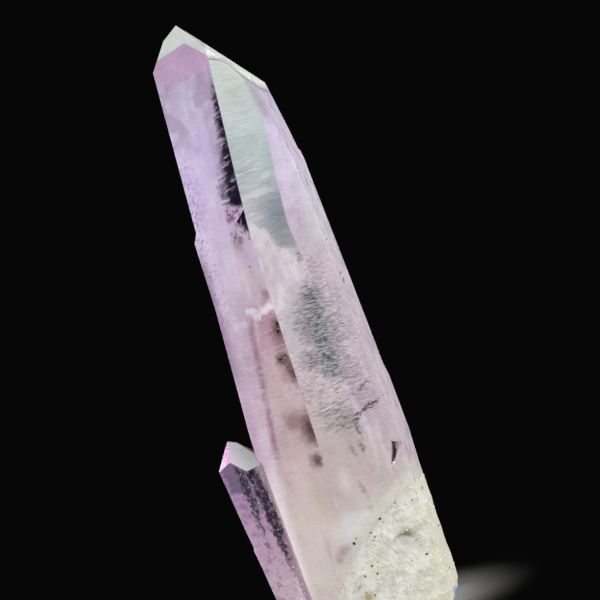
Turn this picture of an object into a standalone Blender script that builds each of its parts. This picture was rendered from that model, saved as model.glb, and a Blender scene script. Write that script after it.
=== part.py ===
"""Vera Cruz amethyst: a long tapering six-sided point with a small side crystal, on the rock it grew from.

The long crystal stands upright on the flat cut of its rock. +Z is its axis, -Y is the front and +X the right.
Sizes in the code are in millimetres, and the meshes are made in metres.
"""

import math

import bmesh
import bpy
import numpy as np
from mathutils import Matrix, Vector, noise

MM = 0.001

# Where the long crystal's axis stands, so that the origin is under the middle of the whole specimen
AXIS_X = 1.294
AXIS_Y = -0.14

# Quartz habit: six prism faces 60 degrees apart, and tip faces that slope 51.8 degrees from level.
# A face's turn is measured from the front towards the right.
FACE_COUNT = 6
FACE_TURN = 360.0 / FACE_COUNT
TIP_SLOPE = 51.8
# How far the prisms are first drawn past their tips, before the tip faces are cut
ABOVE_TIP = 1.9

# The long crystal. Each prism face has its distance from the axis at some heights, front left face first.
POINT_HEIGHT = 48.1
POINT_FIRST_TURN = -40.0
POINT_FACES = (
    ((0, 5.12), (9, 4.99), (20, 4.83), (31, 4.68), (35, 4.35), (45, 3.43), (50, 2.97)),
    ((0, 5.25), (9, 5.10), (20, 4.90), (31, 4.72), (35, 4.64), (45, 4.45), (50, 4.36)),
    (
        (0, 5.76),
        (10, 5.61),
        (13, 5.68),
        (17.4, 5.49),
        (18.4, 5.32),
        (26.5, 4.90),
        (35.4, 4.41),
        (41.5, 3.40),
        (50, 1.90),
    ),
    ((0, 5.70), (12, 5.42), (20, 5.20), (26, 5.00), (35.5, 4.60), (42, 4.20), (50, 3.70)),
    ((0, 5.50), (11, 5.25), (20, 5.00), (35, 4.60), (45, 4.20), (50, 4.00)),
    (
        (0, 5.61),
        (9, 5.39),
        (16.5, 5.36),
        (20, 5.16),
        (26.5, 4.81),
        (31.6, 4.80),
        (32.3, 4.40),
        (43.5, 4.03),
        (50, 3.77),
    ),
)
# The tip faces: turn, slope, and how far each passes outside the tip, where the three main ones meet
POINT_TIP = (-1.46, -0.07)
POINT_TIP_FACES = (
    (-40.0, TIP_SLOPE, 0.0),
    (80.0, TIP_SLOPE, 0.0),
    (200.0, TIP_SLOPE, 0.0),
    (140.0, TIP_SLOPE, 0.8),
    (260.0, 61.0, 0.74),
)

# Growth ledges of the long crystal: height, depth, and where each starts and ends around the prism, in faces
LEDGES = (
    (11.8, 0.12, 3.2, 4.7),
    (15.9, 0.05, 1.1, 1.7),
    (16.6, 0.14, 4.3, 5.8),
    (17.8, 0.09, 1.4, 2.0),
    (18.9, 0.05, 1.0, 1.7),
    (20.1, 0.06, 1.2, 1.9),
    (20.9, 0.09, 5.2, 6.4),
    (21.5, 0.05, 1.1, 1.6),
    (22.7, 0.08, 1.3, 2.8),
    (24.1, 0.05, 1.0, 1.7),
    (25.4, 0.14, 3.0, 4.5),
    (27.6, 0.05, 1.2, 1.9),
    (30.4, 0.06, 1.0, 1.6),
    (31.3, 0.14, 3.4, 4.6),
    (32.0, 0.14, 5.5, 6.4),
    (33.0, 0.06, 1.1, 1.8),
    (34.2, 0.08, 1.5, 2.6),
    (36.3, 0.13, 2.8, 4.2),
    (38.9, 0.06, 5.0, 6.2),
    (40.3, 0.05, 1.2, 2.0),
)
LEDGE_HALF_HEIGHT = 0.12
LEDGE_REACH = 1.6
LEDGE_FADE = 0.3
POINT_COLUMNS = 5

# The side crystal leans to the left, half sunk in the long crystal's left face.
SIDE_HEIGHT = 16.68
SIDE_FIRST_TURN = -35.0
SIDE_LEAN = 6.9
SIDE_FOOT = (-4.73, 0.10)
SIDE_TIP = (-0.85, -0.20)
SIDE_RADIUS = 2.40
SIDE_TAPER = 0.012
SIDE_FACE_OFFSETS = (0.0, -0.05, 0.10, 0.05, 0.0, -0.02)
SIDE_TIP_FACES = (
    (-50.0, TIP_SLOPE, 0.0),
    (25.0, TIP_SLOPE, 0.0),
    (85.0, TIP_SLOPE, 0.28),
    (145.0, TIP_SLOPE, 0.0),
    (205.0, TIP_SLOPE, 0.30),
    (265.0, TIP_SLOPE, 0.0),
)
SIDE_COLUMNS = 2
SIDE_LEDGES = (
    (5.2, 0.06, 0.1, 1.2),
    (8.4, 0.08, 4.9, 6.5),
    (11.2, 0.06, 0.9, 2.0),
)

# A nick near the right edge of the front right face, wide above and coming to a point below
NICK_PLACE = (4.26, -3.76, 11.95)
NICK_LENGTH = 1.9
NICK_WIDTH = 0.80
NICK_LEAN = 20.0

# The rock under the crystals. Its top rises to the right, as heights at places from left to right.
ROCK_TOP = (
    (-9.0, 1.2),
    (-5.5, 1.4),
    (-3.5, 1.9),
    (-2.5, 3.3),
    (-0.5, 5.3),
    (1.7, 6.9),
    (6.0, 9.6),
    (8.0, 10.3),
)
ROCK_TOP_FALL = 0.16
ROCK_TOP_LUMP = 0.32
ROCK_TOP_LUMP_SIZE = 3.4
CONTACT_GAP = 0.3
CONTACT_REACH = (10.0, 8.0)
CONTACT_DEPTH = 3.0
CONTACT_STEPS = 20
ROCK_COLUMNS = 84
ROCK_ROWS = 10
ROCK_TOP_RINGS = 5
ROCK_SURFACE_LUMP = 0.34
ROCK_LUMP_SIZES = (2.6, 1.1)
ROCK_LUMP_SHARES = (0.7, 0.3)
ROCK_PROUD = 0.18
ROCK_FOOT_BEVEL = 0.35
SCOOP_PLACE = (3.0, 4.6)
SCOOP_RADIUS = 1.75
SCOOP_DEPTH = 0.45

AMETHYST_COLOUR = (0.62, 0.45, 0.74, 1.0)
AMETHYST_ROUGHNESS = 0.12
AMETHYST_TRANSMISSION = 0.85
QUARTZ_IOR = 1.544
ROCK_COLOUR = (0.66, 0.64, 0.55, 1.0)
ROCK_ROUGHNESS = 0.85


def clear_scene():
    for old in list(bpy.data.objects):
        bpy.data.objects.remove(old, do_unlink=True)


def face_turns(first_turn):
    return [first_turn + index * FACE_TURN for index in range(FACE_COUNT)]


def outward(turn):
    """The level direction that a face looks in, from its turn in degrees."""
    angle = math.radians(turn)
    return np.array((math.sin(angle), -math.cos(angle)))


def meeting(first_turn, first_distance, second_turn, second_distance):
    """The corner where two upright faces meet."""
    normals = np.array((outward(first_turn), outward(second_turn)))
    return np.linalg.solve(normals, (first_distance, second_distance))


def distance_at(profile, height):
    heights, distances = zip(*profile)
    return float(np.interp(height, heights, distances))


def ledge_profile(rise):
    """From a half proud below a ledge to a half inset above it, easing back to none over its reach."""
    if abs(rise) <= LEDGE_HALF_HEIGHT:
        return -0.5 * rise / LEDGE_HALF_HEIGHT
    fade = 1 - (abs(rise) - LEDGE_HALF_HEIGHT) / LEDGE_REACH
    return -0.5 * math.copysign(max(fade, 0.0), rise)


def ledge_share(around, start, end):
    """How much of a ledge is left at a place around the prism, with soft ends."""
    shares = [
        min((place - start) / LEDGE_FADE, (end - place) / LEDGE_FADE, 1.0)
        for place in (around, around + FACE_COUNT)
    ]
    return max(0.0, *shares)


def relief(ledges, around, height):
    return sum(
        depth * ledge_share(around % FACE_COUNT, start, end) * ledge_profile(height - ledge_height)
        for ledge_height, depth, start, end in ledges
    )


def prism_ring(turns, profiles, ledges, columns, height):
    """The prism's outline at one height, as points along all six faces."""
    distances = [distance_at(profile, height) for profile in profiles]
    corner_relief = [relief(ledges, index, height) for index in range(FACE_COUNT)]
    corners = []
    for index in range(FACE_COUNT):
        before = index - 1
        corners.append(
            meeting(
                turns[before],
                distances[before] + corner_relief[index],
                turns[index],
                distances[index] + corner_relief[index],
            )
        )
    points = []
    for index in range(FACE_COUNT):
        after = (index + 1) % FACE_COUNT
        for column in range(columns):
            share = column / columns
            level = (1 - share) * corner_relief[index] + share * corner_relief[after]
            proud = relief(ledges, index + share, height) - level
            straight = (1 - share) * corners[index] + share * corners[after]
            points.append(straight + proud * outward(turns[index]))
    return points


def row_heights(profiles, ledges, bottom, top):
    heights = {bottom, top}
    for profile in profiles:
        heights.update(height for height, _ in profile)
    for ledge_height, _, _, _ in ledges:
        for reach in (LEDGE_HALF_HEIGHT, LEDGE_HALF_HEIGHT + LEDGE_REACH):
            heights.update((ledge_height - reach, ledge_height + reach))
    return sorted(height for height in heights if bottom <= height <= top)


def loft(rings):
    """A closed mesh through rings of points, each with its height, lowest first."""
    mesh = bmesh.new()
    rows = [[mesh.verts.new((x * MM, y * MM, z * MM)) for x, y, z in ring] for ring in rings]
    count = len(rows[0])
    for lower, upper in zip(rows, rows[1:]):
        for index in range(count):
            after = (index + 1) % count
            mesh.faces.new((lower[index], lower[after], upper[after], upper[index]))
    mesh.faces.new(reversed(rows[0]))
    mesh.faces.new(rows[-1])
    bmesh.ops.recalc_face_normals(mesh, faces=mesh.faces)
    return mesh


def prism_mesh(turns, profiles, ledges, columns, top):
    rings = []
    for height in row_heights(profiles, ledges, 0.0, top):
        rings.append([(x, y, height) for x, y in prism_ring(turns, profiles, ledges, columns, height)])
    return loft(rings)


def cut_tip(mesh, tip, height, tip_faces):
    """Cuts the tip faces, each through the tip or a little outside it."""
    for turn, degrees, outside in tip_faces:
        slope = math.radians(degrees)
        level_x, level_y = outward(turn) * math.sin(slope)
        normal = Vector((level_x, level_y, math.cos(slope)))
        place = (Vector((*tip, height)) + outside * normal) * MM
        everything = mesh.verts[:] + mesh.edges[:] + mesh.faces[:]
        cut = bmesh.ops.bisect_plane(mesh, geom=everything, plane_co=place, plane_no=normal, clear_outer=True)
        edges = [part for part in cut["geom_cut"] if isinstance(part, bmesh.types.BMEdge)]
        bmesh.ops.edgeloop_fill(mesh, edges=edges)
    bmesh.ops.recalc_face_normals(mesh, faces=mesh.faces)


def rock_top(x, y):
    """The height at which the crystals leave the rock, in the long crystal's own frame."""
    places, heights = zip(*ROCK_TOP)
    lump = noise.noise(Vector((x, y, 0.0)) / ROCK_TOP_LUMP_SIZE)
    return float(np.interp(x, places, heights)) - ROCK_TOP_FALL * y + ROCK_TOP_LUMP * lump


def contact_cutter_mesh():
    """A block whose top is the rock's top, raised by half of the gap, which takes the crystals' feet away."""
    reach_x, reach_y = CONTACT_REACH
    mesh = bmesh.new()
    grid = []
    for row in range(CONTACT_STEPS + 1):
        y = reach_y * (2 * row / CONTACT_STEPS - 1)
        line = []
        for column in range(CONTACT_STEPS + 1):
            x = reach_x * (2 * column / CONTACT_STEPS - 1)
            line.append(mesh.verts.new((x * MM, y * MM, (rock_top(x, y) + CONTACT_GAP / 2) * MM)))
        grid.append(line)
    for lower, upper in zip(grid, grid[1:]):
        for column in range(CONTACT_STEPS):
            mesh.faces.new((lower[column], lower[column + 1], upper[column + 1], upper[column]))
    rim = bmesh.ops.extrude_edge_only(mesh, edges=[edge for edge in mesh.edges if edge.is_boundary])
    low_edges = [part for part in rim["geom"] if isinstance(part, bmesh.types.BMEdge) and part.is_boundary]
    for corner in {corner for edge in low_edges for corner in edge.verts}:
        corner.co.z = -CONTACT_DEPTH * MM
    bmesh.ops.edgeloop_fill(mesh, edges=low_edges)
    bmesh.ops.recalc_face_normals(mesh, faces=mesh.faces)
    return mesh


def nick_cutter_mesh():
    mesh = bmesh.new()
    bmesh.ops.create_cone(
        mesh,
        segments=4,
        radius1=0.0,
        radius2=NICK_WIDTH / 2 * MM,
        depth=NICK_LENGTH * MM,
        cap_ends=True,
    )
    place = Matrix.Translation(Vector(NICK_PLACE) * MM)
    lean = Matrix.Rotation(math.radians(NICK_LEAN), 4, "Y")
    turn = Matrix.Rotation(math.radians(POINT_FIRST_TURN + FACE_TURN), 4, "Z")
    bmesh.ops.transform(mesh, matrix=place @ lean @ turn, verts=mesh.verts)
    return mesh


def side_profiles():
    top = SIDE_HEIGHT + ABOVE_TIP
    return [
        ((0.0, SIDE_RADIUS + offset), (top, SIDE_RADIUS + offset - top * SIDE_TAPER))
        for offset in SIDE_FACE_OFFSETS
    ]


def side_crystal_mesh():
    turns = face_turns(SIDE_FIRST_TURN)
    mesh = prism_mesh(turns, side_profiles(), SIDE_LEDGES, SIDE_COLUMNS, SIDE_HEIGHT + ABOVE_TIP)
    cut_tip(mesh, SIDE_TIP, SIDE_HEIGHT, SIDE_TIP_FACES)
    lean = Matrix.Rotation(math.radians(-SIDE_LEAN), 4, "Y")
    place = Matrix.Translation(Vector((*SIDE_FOOT, 0.0)) * MM)
    bmesh.ops.transform(mesh, matrix=place @ lean, verts=mesh.verts)
    return mesh


def ray_exit(direction, centre, turns, distances):
    """How far a ray from the axis runs before it leaves a six-sided outline, or 0 if it misses it."""
    enter, leave = 0.0, math.inf
    for turn, distance in zip(turns, distances):
        normal = outward(turn)
        speed = float(normal @ direction)
        limit = distance + float(normal @ centre)
        if speed > 0:
            leave = min(leave, limit / speed)
        elif speed < 0:
            enter = max(enter, limit / speed)
        elif limit < 0:
            return 0.0
    return leave if leave > enter else 0.0


def footprint(direction, height):
    """How far the rock reaches from the axis: as far as the crystals that it carries."""
    point = [distance_at(profile, height) for profile in POINT_FACES]
    side = [distance_at(profile, height) for profile in side_profiles()]
    side_centre = np.array(SIDE_FOOT) - (height * math.tan(math.radians(SIDE_LEAN)), 0.0)
    return max(
        ray_exit(direction, np.zeros(2), face_turns(POINT_FIRST_TURN), point),
        ray_exit(direction, side_centre, face_turns(SIDE_FIRST_TURN), side),
    )


def rock_lump(x, y, z):
    """How far the broken rock face lies inside the crystals' outline."""
    lump = 0.0
    for size, share in zip(ROCK_LUMP_SIZES, ROCK_LUMP_SHARES):
        distances, _ = noise.voronoi(Vector((x, y, z)) / size)
        lump += share * min(distances[0], 1.0)
    return ROCK_SURFACE_LUMP * lump


def scoop(x, y, z):
    """A shell-shaped hollow on the front right of the rock."""
    if y > 0:
        return 0.0
    away = math.hypot(x - SCOOP_PLACE[0], z - SCOOP_PLACE[1]) / SCOOP_RADIUS
    return SCOOP_DEPTH * max(0.0, 1 - away**2)


def rock_mesh():
    """The rock: broken sides, a top that the crystals stand on, and a flat cut underneath."""
    directions = [outward(360.0 * index / ROCK_COLUMNS) for index in range(ROCK_COLUMNS)]
    rings = [[] for _ in range(ROCK_ROWS + 1)]
    top_rim = []
    for direction in directions:
        rim_reach = footprint(direction, ROCK_TOP[0][1])
        rim_height = rock_top(*(direction * rim_reach)) - CONTACT_GAP / 2
        for row, ring in enumerate(rings):
            height = rim_height * row / ROCK_ROWS
            reach = footprint(direction, height) + ROCK_PROUD
            x, y = direction * reach
            reach -= rock_lump(x, y, height) + scoop(x, y, height)
            if row == 0:
                reach -= ROCK_FOOT_BEVEL
            x, y = direction * reach
            if row == ROCK_ROWS:
                height = rock_top(x, y) - CONTACT_GAP / 2
                top_rim.append(direction * reach)
            ring.append((x, y, height))
    for step in range(1, ROCK_TOP_RINGS):
        share = 1 - step / ROCK_TOP_RINGS
        ring = []
        for edge in top_rim:
            x, y = edge * share
            ring.append((x, y, rock_top(x, y) - CONTACT_GAP / 2))
        rings.append(ring)
    return loft(rings)


def principled(name, colour, roughness):
    material = bpy.data.materials.new(name)
    material.use_nodes = True
    shader = material.node_tree.nodes["Principled BSDF"]
    shader.inputs["Base Color"].default_value = colour
    shader.inputs["Roughness"].default_value = roughness
    shader.inputs["Metallic"].default_value = 0.0
    return material


def amethyst_material():
    """Pale violet quartz, clear to cloudy."""
    material = principled("amethyst", AMETHYST_COLOUR, AMETHYST_ROUGHNESS)
    shader = material.node_tree.nodes["Principled BSDF"]
    shader.inputs["Transmission Weight"].default_value = AMETHYST_TRANSMISSION
    shader.inputs["IOR"].default_value = QUARTZ_IOR
    return material


def add_object(name, mesh, material=None):
    """An object from a bmesh, placed so that the specimen is centred over the origin."""
    data = bpy.data.meshes.new(name)
    mesh.to_mesh(data)
    mesh.free()
    if material:
        data.materials.append(material)
    made = bpy.data.objects.new(name, data)
    made.location = (AXIS_X * MM, AXIS_Y * MM, 0.0)
    bpy.context.scene.collection.objects.link(made)
    return made


def add_helper(name, mesh):
    helper = add_object(name, mesh)
    helper.hide_render = True
    helper.display_type = "WIRE"
    return helper


def add_boolean(target, name, helper, operation):
    modifier = target.modifiers.new(name, "BOOLEAN")
    modifier.object = helper
    modifier.operation = operation
    modifier.solver = "EXACT"


def build_crystals():
    """Both crystals as one solid, because they grew into each other."""
    turns = face_turns(POINT_FIRST_TURN)
    mesh = prism_mesh(turns, POINT_FACES, LEDGES, POINT_COLUMNS, POINT_HEIGHT + ABOVE_TIP)
    cut_tip(mesh, POINT_TIP, POINT_HEIGHT, POINT_TIP_FACES)
    crystals = add_object("amethyst_crystals", mesh, amethyst_material())
    add_boolean(crystals, "side crystal", add_helper("side_crystal_guide", side_crystal_mesh()), "UNION")
    add_boolean(crystals, "foot", add_helper("foot_cutter", contact_cutter_mesh()), "DIFFERENCE")
    add_boolean(crystals, "nick", add_helper("nick_cutter", nick_cutter_mesh()), "DIFFERENCE")


def build_rock():
    add_object("matrix_rock", rock_mesh(), principled("matrix_rock", ROCK_COLOUR, ROCK_ROUGHNESS))


def main():
    clear_scene()
    build_crystals()
    build_rock()


main()
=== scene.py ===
import math
import random

import bmesh
import bpy
import numpy as np
from mathutils import Matrix, Vector, noise
from mathutils.bvhtree import BVHTree


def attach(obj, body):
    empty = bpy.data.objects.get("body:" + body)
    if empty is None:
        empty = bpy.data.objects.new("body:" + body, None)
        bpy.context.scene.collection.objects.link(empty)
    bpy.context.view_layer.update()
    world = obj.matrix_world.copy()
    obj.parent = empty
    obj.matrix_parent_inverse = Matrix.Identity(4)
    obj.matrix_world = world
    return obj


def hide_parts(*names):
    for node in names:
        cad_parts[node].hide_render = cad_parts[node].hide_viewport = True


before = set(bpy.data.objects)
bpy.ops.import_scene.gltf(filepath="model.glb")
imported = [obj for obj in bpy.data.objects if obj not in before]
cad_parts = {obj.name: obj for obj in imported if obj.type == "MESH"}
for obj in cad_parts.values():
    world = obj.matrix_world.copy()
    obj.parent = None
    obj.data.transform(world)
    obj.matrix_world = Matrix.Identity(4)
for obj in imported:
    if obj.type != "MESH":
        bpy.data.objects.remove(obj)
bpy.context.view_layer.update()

MM = 0.001

# Where the long crystal's axis stands. Heights and distances below are in millimetres from it.
AXIS = (1.294, -0.14)

# The long crystal: each prism face's distance from the axis at some heights, front left face first
TIP_SLOPE = 51.8
POINT_HEIGHT = 48.1
POINT_TURNS = (-40, 20, 80, 140, 200, 260)
POINT_FACES = (
    ((0, 5.12), (9, 4.99), (20, 4.83), (31, 4.68), (35, 4.35), (45, 3.43), (50, 2.97)),
    ((0, 5.25), (9, 5.1), (20, 4.9), (31, 4.72), (35, 4.64), (45, 4.45), (50, 4.36)),
    (
        (0, 5.76), (10, 5.61), (13, 5.68), (17.4, 5.49), (18.4, 5.32), (26.5, 4.9), (35.4, 4.41),
        (41.5, 3.4), (50, 1.9),
    ),
    ((0, 5.7), (12, 5.42), (20, 5.2), (26, 5.00), (35.5, 4.6), (42, 4.2), (50, 3.7)),
    ((0, 5.5), (11, 5.25), (20, 5.00), (35, 4.6), (45, 4.2), (50, 4.00)),
    (
        (0, 5.61), (9, 5.39), (16.5, 5.36), (20, 5.16), (26.5, 4.81), (31.6, 4.8), (32.3, 4.4),
        (43.5, 4.03), (50, 3.77),
    ),
)
POINT_TIP = (-1.46, -0.07)
POINT_TIP_FACES = (
    (-40, TIP_SLOPE, 0), (80, TIP_SLOPE, 0), (200, TIP_SLOPE, 0), (140, TIP_SLOPE, 0.8),
    (260, 61, 0.74),
)
# Growth ledges: height, depth, and where each starts and ends around the prism, in faces
POINT_LEDGES = (
    (11.8, 0.12, 3.2, 4.7), (16.6, 0.14, 4.3, 5.8), (17.8, 0.09, 1.4, 2), (20.9, 0.09, 5.2, 6),
    (22.7, 0.08, 2.1, 2.8), (25.4, 0.14, 3, 4.5), (31.3, 0.14, 3.4, 4.6), (34.2, 0.08, 2.1, 2.6),
    (36.3, 0.13, 2.8, 4.2), (38.9, 0.06, 5, 6),
)

# The side crystal
SIDE_HEIGHT = 16.68
SIDE_TURNS = (-35, 25, 85, 145, 205, 265)
SIDE_LEAN = 6.9
SIDE_FOOT = (-4.73, 0.1)
SIDE_TIP = (-0.85, -0.2)
SIDE_RADIUS = 2.4
SIDE_TAPER = 0.012
SIDE_FACE_OFFSETS = (0, -0.05, 0.1, 0.05, 0, -0.02)
SIDE_TIP_SLOPE = 47
SIDE_TIP_FACES = (
    (-50, SIDE_TIP_SLOPE, 0), (25, SIDE_TIP_SLOPE, 0), (85, TIP_SLOPE, 0.28),
    (145, TIP_SLOPE, 0), (205, TIP_SLOPE, 0.3), (265, TIP_SLOPE, 0),
)
SIDE_LEDGES = (
    (5.2, 0.06, 0.1, 1.2), (8.4, 0.08, 4.9, 6.3), (11.2, 0.06, 1.4, 2.2),
)

# Each prism face ends this share of its width short of the corner, which leaves a narrow worn edge
EDGE_SHARE = 0.0015
# A ledge's step is this high, and fades out above, below and at its ends
LEDGE_HALF_HEIGHT = 0.12
LEDGE_REACH = 1.6
LEDGE_FADE = 0.3
# The prisms are built this much too high and then cut off by the tip's faces
ABOVE_TIP = 1.9

# The nick near the right edge of the front right face
NICK_PLACE = (4.26, -3.76, 11.95)
NICK_LENGTH = 1.9
NICK_WIDTH = 0.8
NICK_LEAN = 20

# The rock: its upper edge on the front, as place across and height, and its lumps
ROCK_TOP = (
    (-9, 1.2), (-5.5, 1.4), (-3.5, 1.9), (-2.5, 3.3), (-0.5, 5.3), (1.7, 6.9), (6, 9.6), (8, 10.3),
)
ROCK_TOP_FALL = 0.16
ROCK_TOP_LUMP = 0.32
ROCK_TOP_LUMP_SIZE = 3.4
ROCK_TOP_CRUMB = 0.3
ROCK_TOP_CRUMB_SIZE = 0.55
ROCK_SURFACE_LUMP = 0.34
ROCK_LUMP_SIZES = (2.6, 1.1)
ROCK_LUMP_SHARES = (0.7, 0.3)
ROCK_PROUD = 0.16
ROCK_RIM_PROUD = 0.02
ROCK_RIM_FADE = 1.6
ROCK_FOOT_BEVEL = 0.35
SCOOP_PLACE = (3, 4.8)
SCOOP_RADIUS = 1.45
SCOOP_DEPTH = 0.4
SCOOP_LIP = 0.12
SCOOP_TOWARDS = (0.6, 0.8)

# Small bits on the front: place across, height and size
DARK_SPECKS = (
    (3.23, 7.97, 0.08), (2.84, 7.77, 0.06), (1.76, 7.18, 0.16), (1.9, 6.87, 0.06), (0.76, 6.35, 0.1),
    (0.96, 5.95, 0.09), (0.8, 5.75, 0.07), (-0.73, 5.98, 0.15), (-0.45, 6.3, 0.08), (4.36, 3.48, 0.13),
    (0.58, 4.06, 0.09), (0.05, 3.9, 0.12), (0.28, 3.23, 0.11), (-0.7, 3.34, 0.11), (-2.5, 3.2, 0.06),
    (-1.34, 2.62, 0.1), (4.56, 7.8, 0.08), (-0.4, 1.7, 0.1), (-1.00, 2.1, 0.07), (3.05, 3.35, 0.06),
)
# Painted glints: small white bits that stand for sparkles of light on the crystals and the rock
PAINTED_GLINTS = (
    (-4.35, 12.6, 0.06), (-5.8, 11.3, 0.1), (-5.6, 10.2, 0.09), (-5.52, 9.7, 0.1), (-5.95, 8.8, 0.08),
    (-5.7, 7.6, 0.07), (-5.72, 5.7, 0.13), (-5.55, 3.5, 0.1), (-5.1, 9.8, 0.06), (-6.75, 11.2, 0.06),
    (-7.1, 12.6, 0.05), (-1.36, 21.2, 0.08), (2.97, 17.15, 0.06), (2.6, 13.6, 0.06), (0.95, 13.8, 0.05),
    (4.4, 7.5, 0.07), (5.3, 8.1, 0.12), (5.55, 7.4, 0.12), (4.95, 8.3, 0.09), (0.4, 40.1, 0.06),
)

# The front is drawn in places across and up, as seen level from this far away, with this place ahead
FRONT_AWAY = 128.2
FRONT_AHEAD = (1.11, 25.08)

CRYSTAL_GRIDS = ((6, 120), (22, 480))
ROCK_GRIDS = ((90, 20), (320, 80))
ROCK_TOP_RINGS = 8
ROCK_RISE = 0.05
FOOT_POINTS = 61
FOOT_GAP = 0.1
FOOT_DEPTH = 3
FOOT_HALF_LENGTH = 10
FOOT_HALF_WIDTH = 8
RAY_START = 30
GRAIN_LIFT = -0.00003


# Shapes


def outward(turn):
    angle = math.radians(turn)
    return np.array((math.sin(angle), -math.cos(angle)))


def meeting(first_turn, first_distance, second_turn, second_distance):
    """The corner where two upright faces meet, for one or many pairs of distances."""
    normals = np.array((outward(first_turn), outward(second_turn)))
    return np.linalg.solve(normals, np.array((first_distance, second_distance)))


def distances_at(profile, heights):
    places, distances = zip(*profile)
    return np.interp(heights, places, distances)


def ledge_shape(rise):
    near = -0.5 * rise / LEDGE_HALF_HEIGHT
    fade = np.clip(1 - (np.abs(rise) - LEDGE_HALF_HEIGHT) / LEDGE_REACH, 0, 1)
    return np.where(np.abs(rise) <= LEDGE_HALF_HEIGHT, near, -0.5 * np.sign(rise) * fade)


def ledge_share(around, start, end):
    places = np.array((around, around + 6))
    shares = np.minimum((places - start) / LEDGE_FADE, (end - places) / LEDGE_FADE)
    return np.clip(shares.max(axis=0), 0, 1)


def relief(ledges, around, heights):
    """How proud the growth ledges stand, for places around the prism and heights."""
    total = np.zeros(np.broadcast(around, heights).shape)
    for ledge_height, depth, start, end in ledges:
        total += depth * ledge_share(around, start, end) * ledge_shape(heights - ledge_height)
    return total


def prism_grid(turns, profiles, ledges, columns, heights):
    """Points of a dense prism: rows of heights, with the same count of columns on each face."""
    corners = []
    corner_relief = [relief(ledges, np.full_like(heights, index), heights) for index in range(6)]
    for index in range(6):
        before = distances_at(profiles[index - 1], heights) + corner_relief[index]
        here = distances_at(profiles[index], heights) + corner_relief[index]
        corners.append(meeting(turns[index - 1], before, turns[index], here))
    points = []
    for index in range(6):
        after = (index + 1) % 6
        for share in np.linspace(EDGE_SHARE, 1 - EDGE_SHARE, columns):
            level = (1 - share) * corner_relief[index] + share * corner_relief[after]
            proud = relief(ledges, np.full_like(heights, index + share), heights) - level
            flat = (1 - share) * corners[index] + share * corners[after]
            points.append(flat + proud * outward(turns[index])[:, None])
    grid = np.array(points)
    return np.stack((grid[:, 0].T, grid[:, 1].T, np.repeat(heights[:, None], len(points), axis=1)), axis=2)


def new_object(name, data):
    made = bpy.data.objects.new(name, data)
    bpy.context.scene.collection.objects.link(made)
    return made


def keep_mesh(name, mesh):
    """An object made of a bmesh, which is given up."""
    data = bpy.data.meshes.new(name)
    mesh.to_mesh(data)
    mesh.free()
    return new_object(name, data)


def loft(name, grid):
    """A closed mesh object through rows of points in millimetres, lowest first."""
    rows, columns = grid.shape[:2]
    index = np.arange(rows * columns).reshape(rows, columns)
    beside = np.roll(index, -1, axis=1)
    quads = np.stack((index[:-1], beside[:-1], beside[1:], index[1:]), axis=-1).reshape(-1, 4)
    faces = quads.tolist() + [index[0][::-1].tolist(), index[-1].tolist()]
    data = bpy.data.meshes.new(name)
    data.from_pydata((grid.reshape(-1, 3) * MM).tolist(), [], faces)
    mesh = bmesh.new()
    mesh.from_mesh(data)
    bmesh.ops.recalc_face_normals(mesh, faces=mesh.faces)
    mesh.to_mesh(data)
    mesh.free()
    return new_object(name, data)


def cut_tip(target, tip, height, tip_faces):
    mesh = bmesh.new()
    mesh.from_mesh(target.data)
    for turn, degrees, outside in tip_faces:
        slope = math.radians(degrees)
        level_x, level_y = outward(turn) * math.sin(slope)
        normal = Vector((level_x, level_y, math.cos(slope)))
        place = (Vector((*tip, height)) + outside * normal) * MM
        everything = mesh.verts[:] + mesh.edges[:] + mesh.faces[:]
        plane = {"plane_co": place, "plane_no": normal, "clear_outer": True}
        cut = bmesh.ops.bisect_plane(mesh, geom=everything, **plane)
        edges = [part for part in cut["geom_cut"] if isinstance(part, bmesh.types.BMEdge)]
        bmesh.ops.edgeloop_fill(mesh, edges=edges)
    bmesh.ops.recalc_face_normals(mesh, faces=mesh.faces)
    mesh.to_mesh(target.data)
    mesh.free()


def settle(target):
    """Turns an object and its live modifiers into a plain mesh."""
    graph = bpy.context.evaluated_depsgraph_get()
    data = bpy.data.meshes.new_from_object(target.evaluated_get(graph))
    target.modifiers.clear()
    target.data = data
    return target


def combine(target, other, operation):
    modifier = target.modifiers.new(operation, "BOOLEAN")
    modifier.object = other
    modifier.operation = operation
    modifier.solver = "MANIFOLD"
    settle(target)
    bpy.data.objects.remove(other)


# Node trees


# A curve node works from 0 to 1: a value is shifted and divided to fit in
CURVE_SHIFT = 20
CURVE_SPAN = 80


def sum_of(operation, swapped=False):
    """A method that joins two values in a math node."""

    def method(first, second):
        values = (second, first) if swapped else (first, second)
        return first.nodes.math(operation, *values)

    return method


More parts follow.
